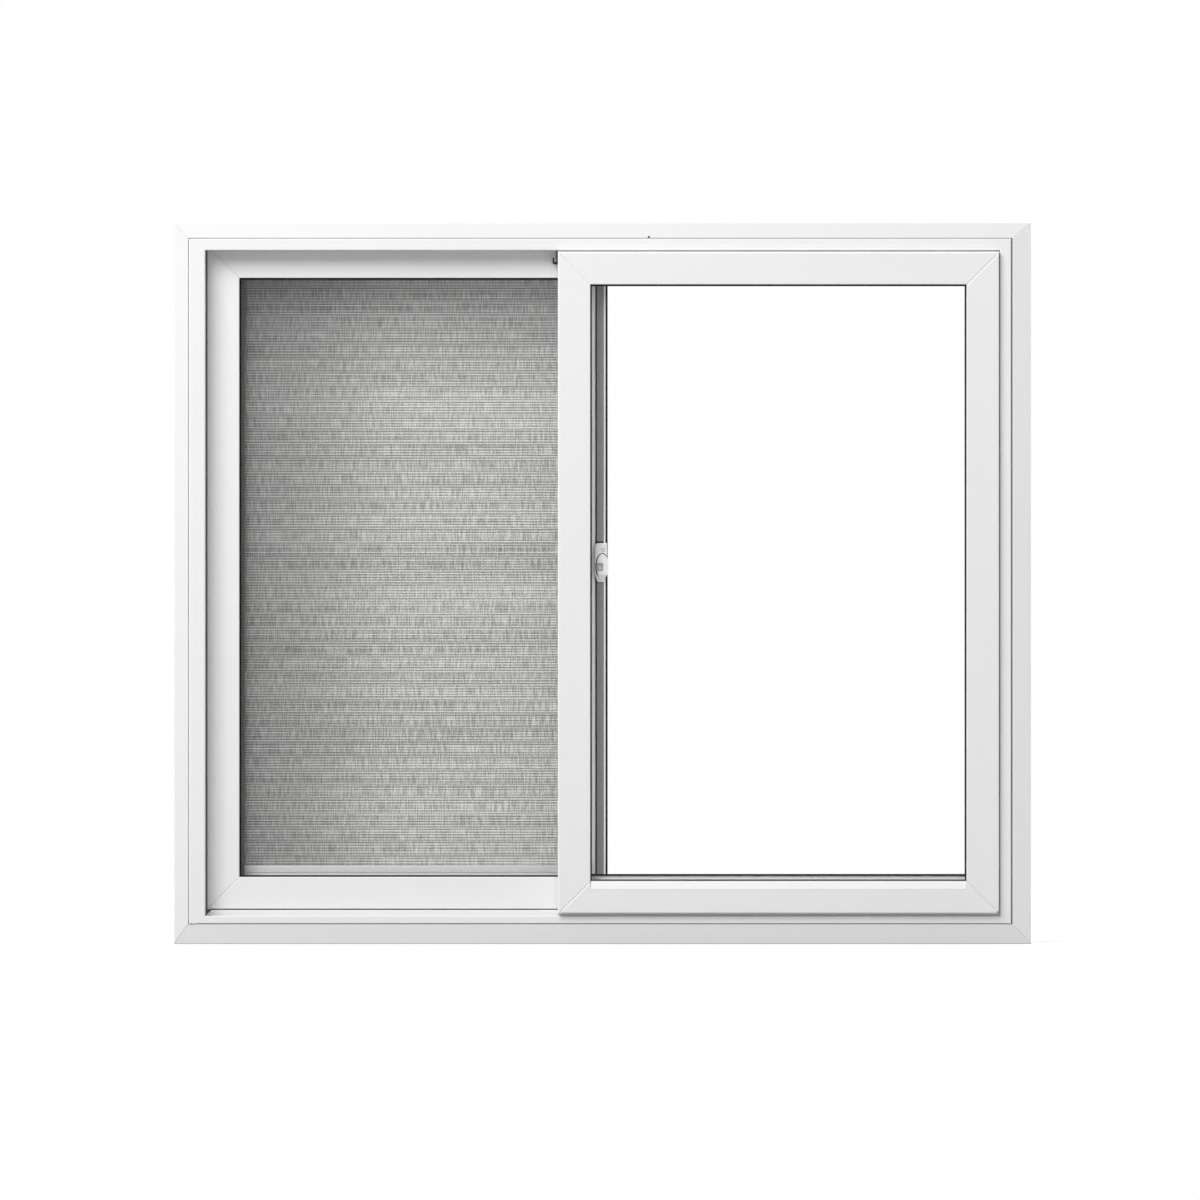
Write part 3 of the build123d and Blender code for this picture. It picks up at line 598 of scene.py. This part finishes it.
@dataclass(frozen=True)
class SlubCloth(Finish):
    """Blind cloth woven with uneven slub yarn: level yarns show as broken lines, over a finer warp."""

    light: str = "E7E7E6"
    dark: str = "A9A9A8"
    roughness: float = 0.85
    shine: float = 0.2
    yarn_mm: float = YARN_MM
    mean_tone: float = 0.5
    # How strongly a yarn stands out, from selvedge to selvedge and from place to place along it
    yarn_strengths: tuple[Streaks, ...] = (
        Streaks(900.0, YARN_MM, 0.2, 1.3),
        Streaks(50.0, YARN_MM, 0.6, 1.4),
    )
    # Thin yarns, broad bands of another batch, and the upright warp
    tone_changes: tuple[Streaks, ...] = (
        Streaks(900.0, YARN_MM * 0.6, -0.10, 0.10),
        Streaks(900.0, 30.0, -0.08, 0.08),
        Streaks(1.6, 20.0, -0.27, 0.27),
    )
    # Painted shade: the cloth is darker along the jamb and the head, standing in for their shadow on it
    jamb_shade: float = 0.26
    jamb_shade_mm: float = 260.0
    head_shade: float = 0.24
    head_shade_mm: float = 190.0
    # Daylight comes through so open a weave
    thin: float = 0.7
    relief_mm: float = 0.12

    def shader(self, tree: bpy.types.NodeTree) -> bpy.types.NodeSocket:
        """Builds the weave on the cloth's own map, whose unit is a metre from its upper left corner.

        Args:
            tree: The material's node tree.

        Returns:
            The shader's output.
        """
        place = add_node(tree, "ShaderNodeTexCoord").outputs["UV"]
        # Blender's bands repeat every pi / 10 units at a scale of one
        bands = add_node(
            tree, "ShaderNodeTexWave",
            {"Vector": place, "Scale": math.pi / 10 * per_metre(self.yarn_mm), "Distortion": 0.0},
            wave_type="BANDS", bands_direction="Y",
        )
        # The weave is taken about zero while the yarns' strengths and tones change it
        weave = add_node(
            tree, "ShaderNodeMath", {0: bands.outputs[1], 1: self.mean_tone}, operation="SUBTRACT"
        ).outputs[0]
        for strength in self.yarn_strengths:
            weave = add_node(
                tree, "ShaderNodeMath", {0: weave, 1: strength.draw(tree, place)}, operation="MULTIPLY"
            ).outputs[0]
        for change in self.tone_changes:
            weave = add_node(
                tree, "ShaderNodeMath", {0: weave, 1: change.draw(tree, place)}, operation="ADD"
            ).outputs[0]
        weave = add_node(tree, "ShaderNodeMath", {0: weave, 1: self.mean_tone}, operation="ADD").outputs[0]
        split = add_node(tree, "ShaderNodeSeparateXYZ", {0: place})
        shade: Entry = 1.0
        for axis, depth, reach in (
            (0, self.jamb_shade, self.jamb_shade_mm), (1, self.head_shade, self.head_shade_mm)
        ):
            edge_shade = add_node(
                tree, "ShaderNodeMapRange",
                {"Value": split.outputs[axis], "From Max": reach * MM, "To Min": 1.0 - depth},
                interpolation_type="SMOOTHSTEP",
            ).outputs[0]
            shade = add_node(tree, "ShaderNodeMath", {0: edge_shade, 1: shade}, operation="MULTIPLY").outputs[0]
        tone = add_node(
            tree, "ShaderNodeMix", {0: weave, 6: linear(self.dark), 7: linear(self.light)}, data_type="RGBA"
        )
        shaded_tone = add_node(
            tree, "ShaderNodeVectorMath", {0: tone.outputs[2], "Scale": shade}, operation="SCALE"
        )
        bump = add_node(
            tree, "ShaderNodeBump", {"Height": weave, "Strength": 1.0, "Distance": self.relief_mm * MM}
        )
        front = add_node(
            tree, "ShaderNodeBsdfPrincipled",
            {
                "Base Color": shaded_tone.outputs[0],
                "Roughness": self.roughness,
                "Specular IOR Level": self.shine,
                "Normal": bump.outputs[0],
            },
        )
        through = add_node(tree, "ShaderNodeBsdfTranslucent", {"Color": shaded_tone.outputs[0]})
        return add_node(
            tree, "ShaderNodeMixShader", {0: self.thin, 1: front.outputs[0], 2: through.outputs[0]}
        ).outputs[0]


VINYL = {
    Run.LEVEL: ExtrudedVinyl("extruded_white_vinyl_level", Run.LEVEL),
    Run.UPRIGHT: ExtrudedVinyl("extruded_white_vinyl_upright", Run.UPRIGHT),
}
# The casing's white is the frame's vinyl a shade darker: painted shade, so that the casing looks less lit than
# the frame
SHADED_CASING_VINYL = {
    Run.LEVEL: ExtrudedVinyl("extruded_white_vinyl_painted_shade_level", Run.LEVEL, "EDEDED", "E8E8E8"),
    Run.UPRIGHT: ExtrudedVinyl("extruded_white_vinyl_painted_shade_upright", Run.UPRIGHT, "EDEDED", "E8E8E8"),
}
# A bead's painted crevice shade counts only its own shape, as the pane in front of it is clear
BEAD_VINYL = {
    Run.LEVEL: ExtrudedVinyl("extruded_bead_vinyl_level", Run.LEVEL, crevice_shade=CreviceShade(own_shape_only=True)),
    Run.UPRIGHT: ExtrudedVinyl("extruded_bead_vinyl_upright", Run.UPRIGHT, crevice_shade=CreviceShade(own_shape_only=True)),
}
RUBBER = GlazingRubber("extruded_black_rubber")
GLASS = ClearGlass("coated_float_glass")
SPACER_METAL = MillMetal("mill_aluminium_spacer")
# Glass-filled nylon wheels, grainier than the gloss black cap
NYLON = MouldedPlastic(
    "moulded_black_nylon", "232323", "1C1C1C", roughness=0.45, ior=1.53, grain_mm=0.7, flow_mm=12.0,
    relief_mm=0.01,
)
BLACK_PLASTIC = MouldedPlastic(
    "moulded_black_plastic", "141414", "0E0E0E", roughness=0.35, ior=1.5, grain_mm=0.8, flow_mm=9.0,
)
# Plain PVC, coloured through and dull. Its grey is partly its own and partly painted shade for the channel
# where the sashes meet
GREY_STRIP_AND_SHADE_PLASTIC = MouldedPlastic(
    "extruded_grey_strip_and_painted_shade", "A6A6A4", "9A9A98", roughness=0.5, ior=1.5, grain_mm=1.0, flow_mm=30.0,
    relief_mm=0.01,
)
BLIND_PLASTIC = MouldedPlastic("moulded_pale_blind_plastic", "DADAD8", "D2D2D0", roughness=0.4)
# Pearl coats: their flake turns light from the side towards the eye. The latch's grooves and scoop get a wider,
# greyer painted shade
LATCH_COAT = PowderCoat(
    "pearl_powder_coated_latch", "F8F8F7", "F1F1F0", roughness=0.7, peel_mm=2.8, speck_mm=0.9,
    relief_mm=0.012, flake=0.65,
    crevice_shade=CreviceShade("4A4A48", reach_mm=7.0, full_shade_at=0.2, clear=0.85, own_shape_only=True),
)
INTERLOCK_COAT = PowderCoat(
    "pearl_powder_coated_interlock", "FEFEFD", "FBFBFA", roughness=0.85, flake=0.95
)
HEM_COAT = PowderCoat("pearl_powder_coated_hem_bar", "DFDFDE", "D9D9D8", roughness=0.7, flake=0.45)
BLIND_COAT = PowderCoat("powder_coated_blind", "D4D4D2", "CDCDCB")
GUIDE_COAT = PowderCoat("powder_coated_grey_guide", "8A8A88", "828280")
PILE = PileSeal("woven_grey_pile")
CLOTH = SlubCloth("woven_slub_cloth")


def dress(node: str, finish: Finish) -> None:
    """Gives a CAD node its finish.

    Args:
        node: The node's name.
        finish: The finish for all its faces.
    """
    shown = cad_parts[node]
    shown.data.materials.clear()
    shown.data.materials.append(finish.material())
    LOG.info("%s: %s", node, finish.name)


def new_piece(name: str, mesh: bmesh.types.BMesh, finish: Finish) -> bpy.types.Object:
    """Turns a finished bmesh into a piece of the window that rides on its one body.

    Args:
        name: The piece's name.
        mesh: The shape, in place, which is freed.
        finish: The finish for all its faces.

    Returns:
        The new object.
    """
    data = bpy.data.meshes.new(name)
    mesh.to_mesh(data)
    mesh.free()
    data.materials.append(finish.material())
    piece = bpy.data.objects.new(name, data)
    bpy.context.scene.collection.objects.link(piece)
    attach(piece, "root")
    LOG.info("%s: %d faces, %s", name, len(data.polygons), finish.name)
    return piece


@dataclass
class Surround:
    """The four bars of the casing or of the frame."""

    prefix: str
    finishes: dict[Run, ExtrudedVinyl]

    def build(self) -> None:
        """Dresses the level bars and the upright ones, each with lines along it."""
        for end, run in (
            ("head", Run.LEVEL), ("sill", Run.LEVEL), ("jamb_left", Run.UPRIGHT), ("jamb_right", Run.UPRIGHT)
        ):
            dress(f"{self.prefix}_{end}", self.finishes[run])


@dataclass
class HeadPeg:
    """The small dark peg at the step between the casing's head and the frame's."""

    across: float = 64.8 * MM
    height: float = 990.2 * MM
    radius: float = 1.4 * MM
    stand: float = 0.9 * MM
    sunk: float = 0.8 * MM
    segments: int = 24
    rings: int = 6

    def build(self) -> None:
        """Spins a rounded peg and seats it in the casing's face."""
        shape = bmesh.new()
        profile = [shape.verts.new((self.radius, 0.0, -self.sunk)), shape.verts.new((self.radius, 0.0, 0.0))]
        for step in range(1, self.rings):
            turn = step / self.rings * math.pi / 2
            profile.append(
                shape.verts.new((self.radius * math.cos(turn), 0.0, self.stand * math.sin(turn)))
            )
        profile.append(shape.verts.new((0.0, 0.0, self.stand)))
        for first, second in zip(profile, profile[1:]):
            shape.edges.new((first, second))
        bmesh.ops.spin(
            shape, geom=shape.verts[:] + shape.edges[:], axis=(0, 0, 1), cent=(0, 0, 0), dvec=(0, 0, 0),
            angle=math.tau, steps=self.segments, use_merge=True, use_duplicate=False,
        )
        bmesh.ops.remove_doubles(shape, verts=shape.verts[:], dist=WELD)
        bmesh.ops.holes_fill(shape, edges=[edge for edge in shape.edges if edge.is_boundary], sides=0)
        bmesh.ops.recalc_face_normals(shape, faces=shape.faces[:])
        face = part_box("casing_head")[0].y
        bmesh.ops.rotate(
            shape, verts=shape.verts[:], cent=(0, 0, 0), matrix=Matrix.Rotation(math.pi / 2, 3, "X")
        )
        bmesh.ops.translate(shape, verts=shape.verts[:], vec=(self.across, face, self.height))
        for part in shape.faces:
            part.smooth = True
        new_piece("head_peg", shape, BLACK_PLASTIC)


class SashPlace(Enum):
    """Which sash it is."""

    FRONT = "front_sash"
    REAR = "rear_sash"


@dataclass
class Sash:
    """One glazed sash with its bars, beads, gaskets, panes, spacer and rollers."""

    place: SashPlace

    def build(self) -> None:
        """Dresses every node of the sash."""
        name = self.place.value
        for end in ("top_rail", "bottom_rail"):
            dress(f"{name}_{end}", VINYL[Run.LEVEL])
        for end in ("meeting_stile", "outer_stile"):
            dress(f"{name}_{end}", VINYL[Run.UPRIGHT])
        dress(f"{name}_level_beads", BEAD_VINYL[Run.LEVEL])
        dress(f"{name}_upright_beads", BEAD_VINYL[Run.UPRIGHT])
        for side in ("front", "back"):
            dress(f"{name}_{side}_gasket", RUBBER)
            dress(f"{name}_{side}_pane", GLASS)
        dress(f"{name}_spacer", SPACER_METAL)
        dress(f"{name}_rollers", NYLON)
        if self.place is SashPlace.FRONT:
            dress(f"{name}_weather_bead", VINYL[Run.LEVEL])


@dataclass
class MeetingParts:
    """What closes the gap where the sashes meet, and the latch that holds them shut."""

    def build(self) -> None:
        """Dresses the interlock with its strip and seals, the hooked cap and the latch on its pad."""
        dress("meeting_interlock", INTERLOCK_COAT)
        dress("meeting_strip", GREY_STRIP_AND_SHADE_PLASTIC)
        dress("latch_pad", RUBBER)
        dress("meeting_seal", RUBBER)
        dress("front_sash_hooked_cap", BLACK_PLASTIC)
        dress("latch_body", LATCH_COAT)
        dress("latch_turn", LATCH_COAT)


@dataclass
class RollerBlind:
    """The blind on the rear sash: its hardware, the cloth with its ribs of yarn, and the pile at its foot."""

    columns: int = 36
    rows_per_yarn: int = 4
    yarn: float = YARN_MM * MM
    rib: float = 0.08 * MM
    slub_share: float = 0.8
    slub_length: float = 70 * MM
    slub_height: float = 11 * MM
    sway: float = 0.5 * MM
    sway_length: float = 260 * MM
    # Where in the noise the sway is read, away from the slubs
    sway_layer: float = 5.0
    thickness: float = 0.5 * MM
    pile_drop: float = 6.2 * MM
    pile_seat: float = 0.4 * MM
    pile_thickness: float = 5.0 * MM
    pile_edge: float = 0.6 * MM
    pile_edge_segments: int = 2

    def build(self) -> None:
        """Dresses the hardware, hangs the cloth and seals the hem bar's foot."""
        dress("blind_cassette", BLIND_COAT)
        dress("blind_hem_bar", HEM_COAT)
        dress("blind_side_guides", GUIDE_COAT)
        dress("blind_end_caps", BLIND_PLASTIC)
        self.hang_cloth()
        self.seal_hem()

    def seal_hem(self) -> None:
        """Sets a strip of pile under the hem bar, to close the gap above the sash's rail."""
        low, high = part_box("blind_hem_bar")
        drop = self.pile_drop + self.pile_seat
        length = high.x - low.x - 2 * self.pile_edge
        shape = bmesh.new()
        bmesh.ops.create_cube(shape, size=1.0)
        bmesh.ops.scale(shape, verts=shape.verts[:], vec=(length, self.pile_thickness, drop))
        bmesh.ops.bevel(
            shape, geom=shape.edges[:], offset=self.pile_edge, segments=self.pile_edge_segments, profile=0.5,
            affect="EDGES", material=-1,
        )
        middle = (low + high) / 2
        bmesh.ops.translate(
            shape, verts=shape.verts[:], vec=(middle.x, middle.y, low.z + self.pile_seat - drop / 2)
        )
        new_piece("hem_pile", shape, PILE)

    def surface(self, x: float, z: float) -> float:
        """Works out the cloth's ribs, slubs and sway at a point.

        Args:
            x: How far the point is to the right.
            z: How high the point is.

        Returns:
            How far the surface stands back there.
        """
        slub = noise.noise(Vector((x / self.slub_length, 0.0, z / self.slub_height)))
        ribs = math.cos(math.tau * z / self.yarn) * (1.0 + self.slub_share * slub)
        sway = noise.noise(Vector((x / self.sway_length, self.sway_layer, z / self.sway_length)))
        return self.rib * ribs + self.sway * sway

    def hang_cloth(self) -> None:
        """Makes the sheet that stands for the CAD cloth, in the same place."""
        low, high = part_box("blind_cloth")
        width = high.x - low.x
        drop = high.z - low.z
        middle = (low + high) / 2
        rows = round(drop / self.yarn) * self.rows_per_yarn
        shape = bmesh.new()
        bmesh.ops.create_grid(
            shape, x_segments=self.columns, y_segments=rows, size=UNIT_GRID,
            matrix=Matrix.Rotation(math.pi / 2, 4, "X"),
        )
        bmesh.ops.scale(shape, verts=shape.verts[:], vec=(width, 1.0, drop))
        bmesh.ops.translate(shape, verts=shape.verts[:], vec=middle)
        bmesh.ops.recalc_face_normals(shape, faces=shape.faces[:])
        for vert in shape.verts:
            vert.co.y += self.surface(vert.co.x, vert.co.z)
        bmesh.ops.solidify(shape, geom=shape.faces[:], thickness=self.thickness)
        cloth_map = shape.loops.layers.uv.new("cloth_map")
        for part in shape.faces:
            part.smooth = True
            for corner in part.loops:
                corner[cloth_map].uv = (corner.vert.co.x - low.x, high.z - corner.vert.co.z)
        cloth = new_piece("blind_cloth_weave", shape, CLOTH)
        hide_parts("blind_cloth")


@dataclass(frozen=True)
class Softbox:
    """A flat lamp that looks at the window."""

    name: str
    azimuth: float
    elevation: float
    distance: float
    across: float
    up: float
    level: float

    def place(self, aim: Point) -> None:
        """Hangs the lamp. At a level of one, a white surface that faces it looks full white.

        Args:
            aim: The point that it looks at.
        """
        turn = math.radians(self.azimuth)
        rise = math.radians(self.elevation)
        away = Vector((math.sin(turn) * math.cos(rise), -math.cos(turn) * math.cos(rise), math.sin(rise)))
        data = bpy.data.lights.new(self.name, "AREA")
        data.shape = "RECTANGLE"
        data.size = self.across
        data.size_y = self.up
        data.energy = self.level * math.pi ** 2 * self.distance ** 2
        lamp = bpy.data.objects.new(self.name, data)
        lamp.location = Vector(aim) + away * self.distance
        lamp.rotation_euler = away.to_track_quat("Z", "Y").to_euler()
        lamp.visible_camera = False
        bpy.context.scene.collection.objects.link(lamp)


@dataclass
class Studio:
    """A white room with a pale floor, big soft lamps in front and behind, and strips beside the window."""

    aim: Point = (0.0, -0.03, 0.505)
    fill: float = 0.47
    # How bright the dark room round the camera is, and the cosines at which it begins and is complete
    dark_front: float = 0.04
    dark_from: float = 0.80
    dark_full: float = 0.93
    floor_width: float = 7.0
    floor_ahead: float = 1.6
    floor_behind: float = 3.0
    floor_colour: str = "A0A09F"
    floor_glow: float = 0.6
    lamps: tuple[Softbox, ...] = (
        Softbox("key_softbox", -31.0, 38.0, 6.2, 3.4, 3.4, 0.785),
        Softbox("back_softbox", 150.0, 28.0, 6.0, 3.6, 3.6, 0.6),
        Softbox("left_strip", -92.0, 3.0, 3.0, 0.3, 2.0, 0.25),
        Softbox("right_strip", 96.0, 3.0, 3.0, 0.3, 2.0, 0.2),
        Softbox("top_strip", 180.0, 84.0, 3.0, 2.0, 0.3, 0.15),
    )

    def build(self) -> None:
        """Sets up the world, the floor and the lamps."""
        scene = bpy.context.scene
        scene.view_settings.view_transform = "Standard"
        self.make_world()
        self.make_floor()
        for lamp in self.lamps:
            lamp.place(self.aim)

    def shown(self, tree: bpy.types.NodeTree, in_mirrors: Entry = 1.0) -> bpy.types.NodeSocket:
        """Tells apart the rays that look at the background from those that gather light.

        Args:
            tree: The node tree of the floor or the world.
            in_mirrors: How bright the background looks in glossy surfaces.

        Returns:
            One for the camera and through glass, the value above in a reflection, and otherwise nothing.
        """
        ray = add_node(tree, "ShaderNodeLightPath")
        direct = add_node(
            tree, "ShaderNodeMath", {0: ray.outputs["Is Camera Ray"], 1: ray.outputs["Is Transmission Ray"]},
            operation="MAXIMUM",
        )
        mirrored = add_node(
            tree, "ShaderNodeMath", {0: ray.outputs["Is Glossy Ray"], 1: in_mirrors}, operation="MULTIPLY"
        )
        return add_node(
            tree, "ShaderNodeMath", {0: direct.outputs[0], 1: mirrored.outputs[0]}, operation="MAXIMUM"
        ).outputs[0]

    def make_world(self) -> None:
        """Makes a world that is white to the eye and in glass, and lights the window only a little."""
        world = bpy.data.worlds.new("studio_world")
        bpy.context.scene.world = world
        world.use_nodes = True
        tree = world.node_tree
        tree.nodes.clear()
        way = add_node(tree, "ShaderNodeTexCoord").outputs["Generated"]
        frontal = add_node(
            tree, "ShaderNodeVectorMath", {0: way, 1: (0.0, -1.0, 0.0)}, operation="DOT_PRODUCT"
        )
        # Panes and gloss faced from the front mirror the dark room round the camera
        in_mirrors = add_node(
            tree, "ShaderNodeMapRange",
            {
                "Value": frontal.outputs["Value"],
                "From Min": self.dark_from,
                "From Max": self.dark_full,
                "To Min": 1.0,
                "To Max": self.dark_front,
            },
        )
        strength = add_node(
            tree, "ShaderNodeMath", {0: self.shown(tree, in_mirrors.outputs[0]), 1: self.fill},
            operation="MAXIMUM",
        )
        sky = add_node(
            tree, "ShaderNodeBackground", {"Color": linear("FFFFFF"), "Strength": strength.outputs[0]}
        )
        add_node(tree, "ShaderNodeOutputWorld", {"Surface": sky.outputs[0]})

    def make_floor(self) -> None:
        """Lays a pale floor that looks white, with the window's shadow on it."""
        shape = bmesh.new()
        bmesh.ops.create_grid(shape, x_segments=1, y_segments=1, size=UNIT_GRID)
        depth = self.floor_ahead + self.floor_behind
        bmesh.ops.scale(shape, verts=shape.verts[:], vec=(self.floor_width, depth, 1.0))
        bmesh.ops.translate(shape, verts=shape.verts[:], vec=(0.0, self.floor_behind - depth / 2, 0.0))
        data = bpy.data.meshes.new("studio_floor")
        shape.to_mesh(data)
        shape.free()
        material = bpy.data.materials.new("pale_floor")
        material.use_nodes = True
        tree = material.node_tree
        tree.nodes.clear()
        glow = add_node(
            tree, "ShaderNodeMath", {0: self.shown(tree), 1: self.floor_glow}, operation="MULTIPLY"
        )
        matt = add_node(tree, "ShaderNodeBsdfDiffuse", {"Color": linear(self.floor_colour)})
        shine = add_node(
            tree, "ShaderNodeEmission", {"Color": linear("FFFFFF"), "Strength": glow.outputs[0]}
        )
        both = add_node(tree, "ShaderNodeAddShader", {0: matt.outputs[0], 1: shine.outputs[0]})
        add_node(tree, "ShaderNodeOutputMaterial", {"Surface": both.outputs[0]})
        data.materials.append(material)
        floor = bpy.data.objects.new("studio_floor", data)
        bpy.context.scene.collection.objects.link(floor)


@dataclass
class PhotoCamera:
    """The camera of the photograph: far away and straight in front, so that all looks flat on."""

    distance: float = 18.0
    view_width: float = 1.68
    sensor: float = 36.0
    nearest: float = 0.1
    farthest: float = 100.0
    aim: Point = (-3.5 * MM, -0.045, 481.6 * MM)

    def build(self) -> None:
        """Makes the camera and hands it to the scene."""
        data = bpy.data.cameras.new("photo_camera")
        data.sensor_width = self.sensor
        data.lens = self.sensor * self.distance / self.view_width
        data.clip_start = self.nearest
        data.clip_end = self.farthest
        camera = bpy.data.objects.new("photo_camera", data)
        camera.location = Vector(self.aim) - Vector((0.0, self.distance, 0.0))
        camera.rotation_euler = (math.pi / 2, 0.0, 0.0)
        bpy.context.scene.collection.objects.link(camera)
        bpy.context.scene.camera = camera


def main() -> None:
    """Builds the window's looks and the studio in order."""
    logging.basicConfig(level=logging.INFO, format="%(name)s %(message)s")
    PhotoCamera().build()
    for part in (
        Surround("casing", SHADED_CASING_VINYL),
        Surround("frame", VINYL),
        HeadPeg(),
        Sash(SashPlace.FRONT),
        Sash(SashPlace.REAR),
        MeetingParts(),
        RollerBlind(),
        Studio(),
    ):
        part.build()


if __name__ == "__main__":
    main()
